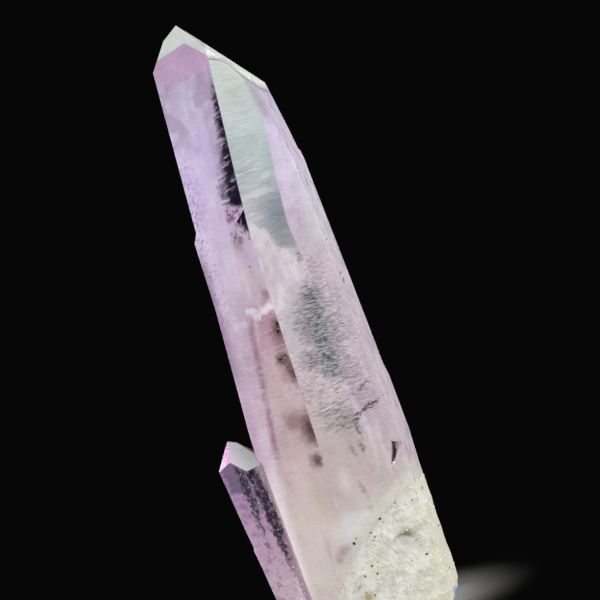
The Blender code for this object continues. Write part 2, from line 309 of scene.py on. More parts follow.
class Signal:
    """A socket in a node tree, which works in sums as a number does."""

    __add__ = __radd__ = sum_of("ADD")
    __sub__ = sum_of("SUBTRACT")
    __rsub__ = sum_of("SUBTRACT", True)
    __mul__ = __rmul__ = sum_of("MULTIPLY")
    __truediv__ = sum_of("DIVIDE")
    __rtruediv__ = sum_of("DIVIDE", True)
    least = sum_of("MINIMUM")
    most = sum_of("MAXIMUM")

    def __init__(self, nodes, socket):
        self.nodes = nodes
        self.socket = socket

    def __abs__(self):
        return self.nodes.math("ABSOLUTE", self)

    def ease(self, low, high, start=0.0, end=1.0):
        """Eases from start to end as the value goes from low to high."""
        values = {"Value": self, 1: low, 2: high, 3: start, 4: end}
        return self.nodes.node("ShaderNodeMapRange", {"interpolation_type": "SMOOTHSTEP"}, values)

    def between(self, low, high, soft):
        """1 where the value lies from low to high, eased at both ends."""
        return self.ease(low - soft, low + soft) * self.ease(high + soft, high - soft)

    def follow(self, points):
        """A number that follows straight lines through points, both within -20 to 60."""
        curve = self.nodes.node("ShaderNodeFloatCurve", None, {"Value": (self + CURVE_SHIFT) / CURVE_SPAN})
        mapping = curve.socket.node.mapping
        line = mapping.curves[0]
        while len(line.points) < len(points):
            line.points.new(0.5, 0.5)
        for point, place in zip(line.points, points):
            point.location = [(value + CURVE_SHIFT) / CURVE_SPAN for value in place]
            point.handle_type = "VECTOR"
        mapping.update()
        return curve * CURVE_SPAN - CURVE_SHIFT


class Nodes:
    """A node tree, made one node at a time."""

    def __init__(self, tree):
        self.tree = tree

    def node(self, kind, settings=None, values=None, out=0):
        """A node's output, after its settings and then its sockets' values or links are set."""
        made = self.tree.nodes.new(kind)
        for key, value in (settings or {}).items():
            setattr(made, key, value)
        for key, value in (values or {}).items():
            if isinstance(value, Signal):
                self.tree.links.new(value.socket, made.inputs[key])
            else:
                made.inputs[key].default_value = value
        return Signal(self, made.outputs[out]) if len(made.outputs) else made

    def math(self, operation, *values):
        return self.node("ShaderNodeMath", {"operation": operation}, dict(enumerate(values)))

    def vector(self, operation, *values, out=0):
        return self.node("ShaderNodeVectorMath", {"operation": operation}, dict(enumerate(values)), out)

    def scaled(self, vector, scale):
        return self.node("ShaderNodeVectorMath", {"operation": "SCALE"}, {0: vector, "Scale": scale})

    def join(self, x, y, z):
        return self.node("ShaderNodeCombineXYZ", None, {0: x, 1: y, 2: z})

    def part(self, vector, axis):
        """A vector's x, y or height, for an axis of 0, 1 or 2."""
        return self.node("ShaderNodeSeparateXYZ", None, {0: vector}, axis)


class Wires(Nodes):
    """A geometry node tree with named inputs."""

    def __init__(self, name, sizes):
        super().__init__(bpy.data.node_groups.new(name, "GeometryNodeTree"))
        sockets = self.tree.interface
        for way in ("OUTPUT", "INPUT"):
            sockets.new_socket("Geometry", in_out=way, socket_type="NodeSocketGeometry")
        self.sizes = sizes
        for label, value in sizes.items():
            kind = "NodeSocketInt" if isinstance(value, int) else "NodeSocketFloat"
            sockets.new_socket(label, in_out="INPUT", socket_type=kind).default_value = value
        outputs = self.tree.nodes.new("NodeGroupInput").outputs
        self.inputs = [Signal(self, outputs[index]) for index in range(len(sizes) + 1)]

    def finish(self, geometry, material):
        real = self.node("GeometryNodeRealizeInstances", None, {"Geometry": geometry})
        dressed = self.node("GeometryNodeSetMaterial", None, {"Geometry": real, "Material": material})
        self.node("NodeGroupOutput", None, {0: dressed})

    def apply(self, target, **changes):
        """Sets the inputs by their identifiers, runs the tree on the object and keeps the plain mesh."""
        modifier = target.modifiers.new(self.tree.name, "NODES")
        modifier.node_group = self.tree
        values = {**self.sizes, **changes}
        for item in self.tree.interface.items_tree:
            if item.in_out == "INPUT" and item.name in values:
                modifier[item.identifier] = values[item.name]
        return settle(target)


def growth_lines(material):
    """Fine steps across the prism faces, as quartz grows, which waver and fade in places."""
    sizes = {"Depth": 0.000015, "Lines per metre": 2600.0, "Across per metre": 260.0, "Seed": 3.0}
    wires = Wires("growth lines", sizes)
    geometry, depth, upward, level, seed = wires.inputs
    place = wires.node("GeometryNodeInputPosition")
    squeeze = wires.join(level, level, upward)
    squeezed = wires.vector("MULTIPLY", place, squeeze)
    settings = {"noise_dimensions": "4D"}
    values = {"Vector": squeezed, "W": seed, "Scale": 1.0, "Detail": 2.0, "Roughness": 0.6}
    lines = wires.node("ShaderNodeTexNoise", settings, values)
    values = {"Vector": place, "W": seed, "Scale": 240.0, "Detail": 1.0}
    patches = wires.node("ShaderNodeTexNoise", settings, values)
    strong = patches.ease(0.38, 0.62, 0.15, 1.0)
    deep = (lines - 0.5) * strong * depth
    normal = wires.node("GeometryNodeInputNormal")
    values = {"Geometry": geometry, "Offset": wires.scaled(normal, deep)}
    wires.finish(wires.node("GeometryNodeSetPosition", None, values), material)
    return wires


# The crystals


def rock_top(x, y):
    places, heights = zip(*ROCK_TOP)
    lump = noise.noise(Vector((x, y, 0.0)) / ROCK_TOP_LUMP_SIZE)
    crumb = noise.noise(Vector((x, y, 5.0)) / ROCK_TOP_CRUMB_SIZE)
    fall = ROCK_TOP_FALL * y
    return float(np.interp(x, places, heights)) - fall + ROCK_TOP_LUMP * lump + ROCK_TOP_CRUMB * crumb


def side_profiles():
    top = SIDE_HEIGHT + ABOVE_TIP
    return [
        ((0.0, SIDE_RADIUS + offset), (top, SIDE_RADIUS + offset - top * SIDE_TAPER))
        for offset in SIDE_FACE_OFFSETS
    ]


def long_crystal(lines, columns, rows):
    heights = np.linspace(0.0, POINT_HEIGHT + ABOVE_TIP, rows)
    crystal = loft("crystals", prism_grid(POINT_TURNS, POINT_FACES, POINT_LEDGES, columns, heights))
    lines.apply(crystal)
    cut_tip(crystal, POINT_TIP, POINT_HEIGHT, POINT_TIP_FACES)
    return crystal


def side_crystal(lines, columns, rows):
    heights = np.linspace(0.0, SIDE_HEIGHT + ABOVE_TIP, rows)
    crystal = loft("side crystal", prism_grid(SIDE_TURNS, side_profiles(), SIDE_LEDGES, columns, heights))
    lines.apply(crystal, **{"Depth": 0.00002, "Seed": 9.0})
    cut_tip(crystal, SIDE_TIP, SIDE_HEIGHT, SIDE_TIP_FACES)
    lean = Matrix.Rotation(math.radians(-SIDE_LEAN), 4, "Y")
    crystal.data.transform(Matrix.Translation(Vector((*SIDE_FOOT, 0.0)) * MM) @ lean)
    return crystal


def foot_block():
    """A block whose top is the rock's top, which takes the crystals' feet away."""
    places = np.linspace(-1, 1, FOOT_POINTS)
    mesh = bmesh.new()
    grid = []
    for across in places:
        line = []
        for along in places:
            x, y = FOOT_HALF_LENGTH * along, FOOT_HALF_WIDTH * across
            line.append(mesh.verts.new((x * MM, y * MM, (rock_top(x, y) - FOOT_GAP) * MM)))
        grid.append(line)
    for lower, upper in zip(grid, grid[1:]):
        for column in range(len(places) - 1):
            mesh.faces.new((lower[column], lower[column + 1], upper[column + 1], upper[column]))
    rim = bmesh.ops.extrude_edge_only(mesh, edges=[edge for edge in mesh.edges if edge.is_boundary])
    low_edges = [part for part in rim["geom"] if isinstance(part, bmesh.types.BMEdge) and part.is_boundary]
    for corner in {corner for edge in low_edges for corner in edge.verts}:
        corner.co.z = -FOOT_DEPTH * MM
    bmesh.ops.edgeloop_fill(mesh, edges=low_edges)
    bmesh.ops.recalc_face_normals(mesh, faces=mesh.faces)
    return keep_mesh("foot", mesh)


def nick_wedge():
    mesh = bmesh.new()
    sizes = {"radius1": 0.0, "radius2": NICK_WIDTH / 2 * MM, "depth": NICK_LENGTH * MM}
    bmesh.ops.create_cone(mesh, segments=4, cap_ends=True, **sizes)
    place = Matrix.Translation(Vector(NICK_PLACE) * MM)
    lean = Matrix.Rotation(math.radians(NICK_LEAN), 4, "Y")
    turn = Matrix.Rotation(math.radians(POINT_TURNS[1]), 4, "Z")
    bmesh.ops.transform(mesh, matrix=place @ lean @ turn, verts=mesh.verts)
    return keep_mesh("nick", mesh)


def to_world(target):
    target.data.transform(Matrix.Translation((AXIS[0] * MM, AXIS[1] * MM, 0.0)))


def make_crystals(material):
    lines = growth_lines(material)
    columns, rows = CRYSTAL_GRIDS[1]
    crystals = long_crystal(lines, columns, rows)
    combine(crystals, side_crystal(lines, columns // 2, rows // 2), "UNION")
    combine(crystals, foot_block(), "DIFFERENCE")
    combine(crystals, nick_wedge(), "DIFFERENCE")
    to_world(crystals)
    return crystals


# The rock


def ray_exit(direction, centre, turns, distances):
    enter, leave = 0.0, math.inf
    for turn, distance in zip(turns, distances):
        normal = outward(turn)
        speed = float(normal @ direction)
        limit = distance + float(normal @ centre)
        if speed > 0:
            leave = min(leave, limit / speed)
        elif speed < 0:
            enter = max(enter, limit / speed)
        elif limit < 0:
            return 0.0
    return leave if leave > enter else 0.0


def footprint(direction, height):
    """How far the rock reaches from the axis: as far as the crystals that it carries."""
    point = [float(distances_at(profile, height)) for profile in POINT_FACES]
    side = [float(distances_at(profile, height)) for profile in side_profiles()]
    side_centre = np.array(SIDE_FOOT) - (height * math.tan(math.radians(SIDE_LEAN)), 0.0)
    return max(
        ray_exit(direction, np.zeros(2), POINT_TURNS, point),
        ray_exit(direction, side_centre, SIDE_TURNS, side),
    )


def rock_lump(x, y, z):
    lump = 0.0
    for size, share in zip(ROCK_LUMP_SIZES, ROCK_LUMP_SHARES):
        distances, _ = noise.voronoi(Vector((x, y, z)) / size)
        lump += share * min(distances[0], 1.0)
    return ROCK_SURFACE_LUMP * lump


def scoop(x, y, z):
    """A hollow with a sharp lip at its upper right, which runs out at its lower left."""
    if y > 0:
        return 0.0
    across, up = (x - SCOOP_PLACE[0]) / SCOOP_RADIUS, (z - SCOOP_PLACE[1]) / SCOOP_RADIUS
    away = math.hypot(across, up)
    towards_lip = (SCOOP_TOWARDS[0] * across + SCOOP_TOWARDS[1] * up) / max(away, 0.01)
    lip = min(1.0, max(0.0, (1 - away) / SCOOP_LIP))
    return SCOOP_DEPTH * (lip * max(0.0, towards_lip) * away + 0.5 * max(0.0, 1 - away**2))


def rock_grid(columns, rows, top_rings, rise):
    directions = [outward(360.0 * index / columns) for index in range(columns)]
    rings = [[] for _ in range(rows + 1)]
    top_rim = []
    for direction in directions:
        rim_reach = footprint(direction, ROCK_TOP[0][1])
        rim_height = rock_top(*(direction * rim_reach)) + rise
        for row, ring in enumerate(rings):
            height = rim_height * row / rows
            reach = footprint(direction, height)
            x, y = direction * reach
            below_rim = min(1.0, (rim_height - height) / ROCK_RIM_FADE)
            lump = rock_lump(x, y, height)
            reach += ROCK_RIM_PROUD + below_rim * (ROCK_PROUD - lump) - scoop(x, y, height)
            reach -= ROCK_FOOT_BEVEL * max(0.0, 1 - height / (rim_height / 10))
            x, y = direction * reach
            if row == rows:
                height = rock_top(x, y) + rise
                top_rim.append(direction * reach)
            ring.append((x, y, height))
    for step in range(1, top_rings):
        share = 1 - step / top_rings
        rings.append([(*(edge * share), rock_top(*(edge * share)) + rise) for edge in top_rim])
    return np.array(rings)


def make_rock(material):
    columns, rows = ROCK_GRIDS[1]
    rock = loft("rock", rock_grid(columns, rows, ROCK_TOP_RINGS, ROCK_RISE))
    rock.data.materials.append(material)
    to_world(rock)
    return rock


def scatter(material):
    """Small angular grains, half sunk in the surface that they lie on."""
    sizes = {"Grains per square metre": 1600000.0, "Smallest": 0.00006, "Largest": 0.00016}
    wires = Wires("scatter grains", {**sizes, "Lowest": 0.0004, "Seed": 5})
    geometry, density, smallest, largest, lowest, seed = wires.inputs
    place = wires.node("GeometryNodeInputPosition")
    settings = {"data_type": "FLOAT", "operation": "GREATER_THAN"}
    above = wires.node("FunctionNodeCompare", settings, {0: wires.part(place, 2), 1: lowest})
    settings = {"distribute_method": "RANDOM"}
    values = {"Mesh": geometry, "Selection": above, "Density": density, "Seed": seed}
    points = wires.node("GeometryNodeDistributePointsOnFaces", settings, values)
    outwards = Signal(wires, points.socket.node.outputs["Normal"])
    sunk = wires.scaled(outwards, GRAIN_LIFT)
    points = wires.node("GeometryNodeSetPosition", None, {"Geometry": points, "Offset": sunk})
    grain = wires.node("GeometryNodeMeshIcoSphere", None, {"Radius": 1.0, "Subdivisions": 1})
    settings = {"data_type": "FLOAT_VECTOR"}
    values = {0: (0, 0, 0), 1: (6.3, 6.3, 6.3), "Seed": 11}
    turn = wires.node("FunctionNodeRandomValue", settings, values)
    values = {0: (0.6, 0.6, 0.4), 1: (1.0, 1.0, 0.8), "Seed": 17}
    uneven = wires.node("FunctionNodeRandomValue", settings, values)
    share = wires.node("FunctionNodeRandomValue", {"data_type": "FLOAT"}, {"Seed": 23}, out=1)
    size = wires.node("ShaderNodeMapRange", None, {"Value": share, 3: smallest, 4: largest})
    scale = wires.scaled(uneven, size)
    values = {"Points": points, "Instance": grain, "Rotation": turn, "Scale": scale}
    wires.finish(wires.node("GeometryNodeInstanceOnPoints", None, values), material)
    return wires


def make_grains(rock, material):
    grains = new_object("grains", rock.data.copy())
    return scatter(material).apply(grains)


def tree_of(target):
    mesh = bmesh.new()
    mesh.from_mesh(target.data)
    found = BVHTree.FromBMesh(mesh)
    mesh.free()
    return found


def first_hit(trees, eye, target):
    """Where a line from the eye to a place first meets a surface, and its normal there, or nothing."""
    hits = [tree.ray_cast(eye, (target - eye).normalized()) for tree in trees]
    hits = [hit for hit in hits if hit[0] is not None]
    return min(hits, key=lambda hit: hit[3])[:2] if hits else None


def seen_places(trees, marks):
    """Where marks given as a place across and a height are met on the surfaces, from the front."""
    eye = Vector((FRONT_AHEAD[0] + AXIS[0], -FRONT_AWAY + AXIS[1], FRONT_AHEAD[1])) * MM
    for across, height, size in marks:
        hit = first_hit(trees, eye, Vector((across + AXIS[0], AXIS[1], height)) * MM)
        if hit:
            yield *hit, size


def hidden_places(trees, count, heights, sizes, seed):
    """Where small marks lie on the sides and the back."""
    chance = random.Random(seed)
    for _ in range(count):
        turn = chance.uniform(75, 285)
        height = chance.uniform(*heights)
        away = outward(turn) * RAY_START
        eye = Vector((away[0] + AXIS[0], away[1] + AXIS[1], height)) * MM
        target = Vector((AXIS[0] + chance.uniform(-2, 2), AXIS[1] + chance.uniform(-2, 2), height)) * MM
        hit = first_hit(trees, eye, target)
        if hit:
            yield *hit, chance.uniform(*sizes)


def make_specks(name, places, flatness, material, seed):
    """Small angular bits sunk in the surface, joined in one mesh."""
    chance = random.Random(seed)
    mesh = bmesh.new()
    for place, normal, size in places:
        made = bmesh.ops.create_icosphere(mesh, subdivisions=1, radius=size * MM)["verts"]
        for corner in made:
            corner.co *= chance.uniform(0.75, 1.15)
            corner.co.x *= flatness
        spin = Matrix.Rotation(chance.uniform(0, math.pi), 4, "Z")
        stand = normal.to_track_quat("Z", "Y").to_matrix().to_4x4()
        squash = Matrix.Diagonal((1.0, 1.0, 0.5, 1.0))
        bmesh.ops.transform(mesh, matrix=Matrix.Translation(place) @ stand @ squash @ spin, verts=made)
    bmesh.ops.recalc_face_normals(mesh, faces=mesh.faces)
    specks = keep_mesh(name, mesh)
    specks.data.materials.append(material)
    return specks


# Finishes


QUARTZ_IOR = 1.544
EDGE_HEIGHTS = (0, 9, 20, 31, 35.4, 41.5, 45, 50)


def light_of(level):
    """How much light a screen gives at a level of 0 to 255."""
    share = level / 255
    return share / 12.92 if level <= 10 else ((share + 0.055) / 1.055) ** 2.4


def rgb(*levels):
    """A colour from its red, green and blue on a screen, 0 to 255."""
    return (*map(light_of, levels), 1.0)


class Finish(Nodes):
    """A material's node tree."""

    def __init__(self, name):
        self.material = bpy.data.materials.new(name)
        self.material.use_nodes = True
        super().__init__(self.material.node_tree)
        self.tree.nodes.clear()

    def blend(self, share, first, second):
        settings = {"data_type": "RGBA", "clamp_factor": True}
        return self.node("ShaderNodeMix", settings, {0: share, 6: first, 7: second}, out=2)

    def shades(self, value, low, high, *stops):
        """A colour that changes with a value, from rows of the value and its red, green and blue."""
        ramp = self.node("ShaderNodeValToRGB", None, {"Fac": (value - low) / (high - low)})
        elements = ramp.socket.node.color_ramp.elements
        while len(elements) < len(stops):
            elements.new(0.5)
        for element, (place, *levels) in zip(elements, stops):
            element.position = (place - low) / (high - low)
            element.color = rgb(*levels)
        return ramp

    def cloud(self, vector, size, detail=2.0, roughness=0.5):
        """Soft noise about 0.5, with lumps of about this size."""
        values = {"Vector": vector, "Scale": 1 / size, "Detail": detail, "Roughness": roughness}
        return self.node("ShaderNodeTexNoise", None, {**values, "Distortion": 0.0})

    def surface(self, values):
        """Ends the tree with one surface, and gives its material."""
        shader = self.node("ShaderNodeBsdfPrincipled", None, values)
        self.node("ShaderNodeOutputMaterial", None, {"Surface": shader})
        return self.material


class Paint:
    """A colour that is painted over, one coat at a time."""

    def __init__(self, finish, colour):
        self.finish = finish
        self.colour = colour

    def __call__(self, share, *coat):
        """Lays on a share of a coat: its red, green and blue, or a colour made before."""
        coat = rgb(*coat) if len(coat) == 3 else coat[0]
        self.colour = self.finish.blend(share, self.colour, coat)
        return self.colour


class Front(Finish):
    """A finish with the specimen's own places in millimetres, and its places as seen from the front."""

    def __init__(self, name):
        super().__init__(name)
        object_place = self.node("ShaderNodeTexCoord", out="Object")
        self.place = self.vector("SUBTRACT", self.scaled(object_place, 1 / MM), (*AXIS, 0.0))
        self.x, self.y, self.z = (self.part(self.place, axis) for axis in range(3))
        nearness = FRONT_AWAY / (self.y + FRONT_AWAY)
        self.across = (self.x - FRONT_AHEAD[0]) * nearness + FRONT_AHEAD[0]
        self.height = (self.z - FRONT_AHEAD[1]) * nearness + FRONT_AHEAD[1]
        self.front = self.join(self.across, self.height, 0.0)

    def oval(self, x, height, across, upward, lean=0.0, soft=0.9, on=None):
        """A soft oval on the front, 1 in its middle and 0 outside, turned by lean degrees to the left."""
        values = {
            "Vector": on or self.front,
            "Location": (x, height, 0.0),
            "Rotation": (0.0, 0.0, math.radians(lean)),
            "Scale": (across, upward, 1.0),
        }
        moved = self.node("ShaderNodeMapping", {"vector_type": "TEXTURE"}, values)
        return self.vector("LENGTH", moved, out=1).ease(1.0, 1.0 - soft)

    def ovals(self, marks, on=None):
        """The strongest of several ovals."""
        found = None
        for mark in marks:
            one = self.oval(*mark, on=on)
            found = one if found is None else found.most(one)
        return found

    def patch(self, corners, soft=0.04, on=None):
        """A straight-sided patch on the front, 1 inside its corners, which are given anticlockwise."""
        inside = None
        for (x, height), (next_x, next_height) in zip(corners, corners[1:] + corners[:1]):
            length = math.hypot(next_x - x, next_height - height)
            inward = ((height - next_height) / length, (next_x - x) / length, 0.0)
            along = self.vector("DOT_PRODUCT", on or self.front, inward, out=1)
            depth = along - (inward[0] * x + inward[1] * height)
            inside = depth if inside is None else inside.least(depth)
        return inside.ease(-soft, soft)

    def stretched(self, level, upward, waver=0.0):
        """The specimen's places squeezed level and upward, with a height that may waver."""
        lift = self.join(0.0, 0.0, waver)
        return self.vector("MULTIPLY_ADD", self.place, (level, level, upward), lift)

    def shifted(self, noise_colour, amount):
        """The front's places, pushed about by a noise."""
        half = -amount / 2
        push = self.vector("MULTIPLY_ADD", noise_colour, (amount, amount, 0.0), (half, half, 0.0))
        return self.vector("ADD", self.front, push)


def from_front(place, height):
    """Where a place at a height is seen from the front, as its height and its place across."""
    near = FRONT_AWAY / (FRONT_AWAY + place[1])
    across = (place[0] - FRONT_AHEAD[0]) * near + FRONT_AHEAD[0]
    return (height - FRONT_AHEAD[1]) * near + FRONT_AHEAD[1], across


def front_line(first, second):
    """Where the edge between two prism faces is seen from the front."""
    points = []
    for height in EDGE_HEIGHTS:
        sides = [(POINT_TURNS[face], distances_at(POINT_FACES[face], height)) for face in (first, second)]
        points.append(from_front(meeting(*sides[0], *sides[1]), height))
    return points


def prism_distance(f, face):
    """How far outside a face of the long crystal a place lies, in millimetres."""
    right, ahead = outward(POINT_TURNS[face])
    return f.x * float(right) + f.y * float(ahead) - f.z.follow(POINT_FACES[face])


# Lines on the front, as points of height and place across: a seam inside the left face, the edge of the
# grey-green band on the right face, the middle of the dark core and the side crystal's seam. The window's
# width goes by height too. The roof line, the foot of the frosted white, has its height by place across.
LEFT_SEAM = ((12, -4.75), (15, -4.45), (24.7, -3.3), (30.6, -2.65), (34, -2.3), (44, -1.3))
RIGHT_BORDER = ((13, 2.2), (20, 2.4), (28, 2.3), (31, 2.0), (35, 2.3), (41.3, 3.0), (46, 3.6))
ROOF_LINE = ((0.1, 44.9), (0.7, 44.65), (1.34, 44.2), (2.08, 43.05), (3.2, 41.5), (4.0, 40.9))
CORE_LINE = ((18.0, 1.95), (22.0, 1.75), (24.5, 2.0), (27.0, 2.3))
WINDOW_WIDTH = ((33.0, 1.9), (34.7, 1.9), (36.5, 1.35), (39.0, 0.8), (41.5, 0.6), (43.5, 0.35))
SIDE_SEAM = (
    (3.8, -6.05), (5.4, -5.67), (6.8, -5.53), (9.1, -5.58), (10.3, -5.68), (11.5, -5.86), (13.8, -6.22),
)


def lay_out(f):
    """Adds what the crystals' finish shares: noises, edges and where each face is."""
    elsewhere = f.vector("ADD", f.place, (7, 3, 11))
    f.rough = f.cloud(f.place, 0.45, 3, 0.6)
    f.rough_too = f.cloud(elsewhere, 0.5, 3, 0.6)
    f.speckle = f.cloud(elsewhere, 0.26, 2, 0.6)
    f.middle = f.cloud(f.place, 1.1, 3, 0.55)
    f.broad = f.cloud(elsewhere, 2.6, 2, 0.5)
    tatters = f.node("ShaderNodeTexNoise", None, {"Vector": f.place, "Scale": 2.4, "Detail": 4.0}, out=1)
    billows = f.node("ShaderNodeTexNoise", None, {"Vector": elsewhere, "Scale": 0.9, "Detail": 4.0}, out=1)
    f.torn = f.shifted(tatters, 0.9)
    f.nudged = f.shifted(tatters, 0.35)
    f.billowed = f.shifted(billows, 1.3)
    f.past_edge = f.across - f.height.follow(front_line(0, 1))
    f.past_left = f.across - f.height.follow(front_line(5, 0))
    f.past_right = f.height.follow(front_line(1, 2)) - f.across
    f.past_seam = f.across - f.height.follow(LEFT_SEAM)
    f.past_border = f.across - f.height.follow(RIGHT_BORDER)
    f.on_right = f.past_edge.ease(-0.03, 0.03)
    outside = prism_distance(f, 0).most(prism_distance(f, 5))
    f.on_side = outside.ease(0.07, 0.14) * f.z.ease(18, 17.5)
    normal = f.node("ShaderNodeTexCoord", out="Normal")
    f.leaning, f.facing, f.sloping = (f.part(normal, axis) for axis in range(3))
    f.on_front = f.facing.ease(0.05, -0.02)
    f.lines = f.cloud(f.stretched(2.1, 12, (f.middle - 0.5) * 2.5), 1, 2, 0.6)
    f.fine_lines = f.cloud(f.stretched(0.5, 6.5, (f.broad - 0.5) * 5), 1, 3, 0.65)
    f.veils = f.cloud(f.stretched(0.9, 0.2), 1, 3, 0.55)
    f.over_rock = f.height - f.across.follow(ROCK_TOP) - 0.7


# Ovals on the front: place across, height, half width, half height, and maybe lean and softness

BROWN_WINDOWS = (
    (-1.15, 23.5, 0.65, 1.4), (-1.5, 21.2, 0.9, 0.8), (-1.00, 19.9, 0.7, 1.6, 5),
    (-0.95, 15.4, 1.45, 2.2), (-1.35, 12.9, 0.45, 0.6),
)
BROWN_HAZE = (
    (-2.1, 16.3, 1.6, 1.4), (-1.4, 15.6, 1.1, 2.3), (-1.3, 22.8, 1, 1.9), (-1.4, 20.4, 1.1, 2),
    (-1.3, 26.3, 0.55, 0.9), (-2, 30.8, 0.7, 0.9), (-1.5, 13, 0.8, 1.2), (-1.5, 5.3, 1.2, 1.1),
)
LEFT_VEIL = (
    (-2.75, 25.35, 0.5, 0.4, 0, 0.5), (-2.35, 24.85, 0.45, 0.4, 0, 0.5),
    (-1.75, 25.1, 0.65, 0.35, 0, 0.5), (-1.05, 25.3, 0.6, 0.5, 0, 0.5),
)
DARK_CORE = (
    (2.00, 28.3, 0.45, 0.6), (2.32, 14.6, 0.4, 1.1, 6), (2.25, 12.9, 0.3, 0.7, 6),
)
PALE_CORE = (
    (3, 22.6, 1.1, 2.6), (0.9, 22.8, 1.3, 2.2), (0.4, 20.4, 1.2, 1.4), (1.4, 12.9, 0.25, 0.9, 5),
    (2.1, 12.8, 0.25, 0.9, 5), (1.3, 9.6, 0.3, 1.1, 14), (1.3, 8.1, 0.4, 0.4),
)
TANGLE = (
    (0.9, 16.3, 1.7, 0.75, 4, 0.7), (1.5, 15.1, 1.5, 1.2, 0, 0.8), (0.2, 15.2, 0.9, 0.6),
)
SMALL_DARK = (
    (4.72, 26.1, 0.05, 0.2, -6, 0.4), (4.78, 25.5, 0.05, 0.3, -6, 0.4), (4.5, 28.9, 0.08, 0.08, 0, 0.5),
    (-1.78, 28.7, 0.08, 0.08, 0, 0.5), (-1.12, 23.9, 0.16, 0.22, 0, 0.5), (-1.25, 23.3, 0.16, 0.2, 0, 0.5),
    (-1.75, 21.2, 0.22, 0.12, 0, 0.5),
)

# Patches on the front, as corners of place across and height

FEATHER = (
    (-1.2, 24.6), (0, 24.8), (1.64, 26.1), (2.1, 27.2), (1.6, 29), (0.5, 29.9), (-1.2, 30.2),
)
FEATHER_TOP = ((-1.2, 29.5), (0.6, 29.6), (0.35, 30.9), (-0.7, 31.9), (-1.2, 31.9))
CRACK = ((2.15, 15.25), (2.3, 15), (3.7, 15.5), (5.05, 16.15), (3.5, 15.85))
CRACK_TOO = ((2.9, 17.1), (3.05, 16.95), (4.4, 17.52), (4.3, 17.62))
# Painted shade in the nick: a dark patch on its deep side and a lighter grey one on its other side
NICK_DEEP_SHADE = ((4.5, 12.6), (3.9, 10.9), (4.1, 10.95), (4.65, 11.8))
NICK_LIGHTER_SHADE = ((4.5, 12.55), (4.62, 11.75), (5.25, 12.3))
PURPLE_VEIL = ((-2.35, 33.5), (-2.2, 32.3), (-1.1, 32.9), (-0.9, 33.9))
LOW_WINDOW = ((-1.96, 32.06), (-0.93, 30.2), (-0.5, 30.2), (-0.5, 33.35), (-0.92, 33))
SIDE_CAP = ((-8.7, 14.2), (-8.4, 12.4), (-7.4, 12.2), (-7, 14.6), (-8, 15.4))
SIDE_BAND = ((-7.75, 14.4), (-7.5, 11.5), (-7.38, 9.3), (-7.05, 8.5), (-6.9, 11.4), (-7.1, 14.6))
SIDE_BAND_TOO = (
    (-7, 14.6), (-6.76, 11.3), (-6.2, 7.4), (-5.98, 5.7), (-5.6, 9.5), (-5.8, 11.5), (-6.15, 14.8),
)
SIDE_RIDGE = ((-7.13, 13.9), (-7.03, 13.9), (-6.66, 11.3), (-6.3, 9), (-6.4, 9), (-6.95, 11.4))


def left_face(f):
    """The front left face: lilac outside a straight seam in the quartz, and rose and brown inside it."""
    outer = f.shades(
        f.height, 0, 50, (4, 230, 216, 215), (9, 222, 203, 207), (14, 222, 201, 214), (18, 211, 186, 204),
        (22, 200, 178, 197), (26, 203, 183, 204), (30, 217, 201, 225), (35, 203, 184, 221),
        (39, 208, 190, 228), (43, 190, 178, 205),
    )
    inner = f.shades(
        f.height, 0, 50, (4, 229, 218, 210), (9, 227, 211, 204), (13, 219, 198, 196), (16, 208, 180, 184),
        (19, 209, 183, 190), (22, 199, 165, 176), (24.5, 182, 145, 158), (26, 196, 174, 189),
        (28, 211, 192, 207), (30, 203, 183, 204), (36, 198, 180, 216), (43, 188, 170, 196),
    )
    inside = (f.past_seam + (f.rough - 0.5) * 0.4).ease(-0.15, 0.25)
    paint = Paint(f, f.blend(inside, outer, inner))
    paint(f.veils.ease(0.5, 0.7) * 0.35, 230, 220, 236)
    paint(f.veils.ease(0.48, 0.3) * 0.3, 178, 152, 184)
    paint(f.middle.ease(0.52, 0.72) * 0.4, 226, 214, 232)
    drift = f.cloud(f.stretched(0.45, 0.7), 1, 1, 0.4)
    billow = drift.ease(0.55, 0.42) * f.height.ease(37, 40.5)
    paint(billow * 0.6, 164, 146, 174)
    margin = f.past_left.ease(1.7, 0.5) * f.height.between(25, 38, 2.5)
    paint(f.speckle.ease(0.53, 0.66) * margin * 0.7, 144, 114, 170)
    paint(f.speckle.ease(0.46, 0.36) * margin * 0.5, 230, 222, 240)
    # Painted light: a paler coat low near the left silhouette, which lifts the side crystal's cast shadow
    # off the face
    painted_light = f.past_left.ease(1.4, 0.6) * f.height.between(3.5, 13, 1.5)
    paint(painted_light * 0.9, 252, 240, 244)
    plum = f.past_left.ease(0.8, 0.1) * f.height.between(20.5, 31, 1.5)
    paint(plum * 0.7, 150, 120, 158)
    rose = f.past_left.ease(0.9, 0.1) * f.height.between(13, 20, 2)
    paint(rose * 0.5, 190, 152, 188)
    dark_seam = abs(f.past_seam - 0.24).ease(0.42, 0.02) * f.height.between(14, 24.6, 1)
    paint(dark_seam * f.rough.ease(0.35, 0.6, 0.35, 0.85), 160, 118, 146)
    # Painted shade: a brownish grey darkening beside the front edge, low on the left face
    painted_edge_shade = f.past_edge.between(-1.5, -0.1, 0.5) * f.height.between(8.5, 12.5, 1.5)
    paint(painted_edge_shade * 0.5, 196, 178, 170)
    paint(f.ovals(BROWN_HAZE, f.billowed) * 0.75, 150, 115, 118)
    paint(f.ovals(BROWN_WINDOWS, f.torn) * 0.85, 98, 72, 70)
    grained = f.height.between(12, 25, 2) * 0.7 + 0.3
    paint(f.fine_lines.ease(0.54, 0.68) * grained * 0.35, 172, 142, 160)
    return paint(f.fine_lines.ease(0.46, 0.32) * grained * 0.3, 234, 224, 234)


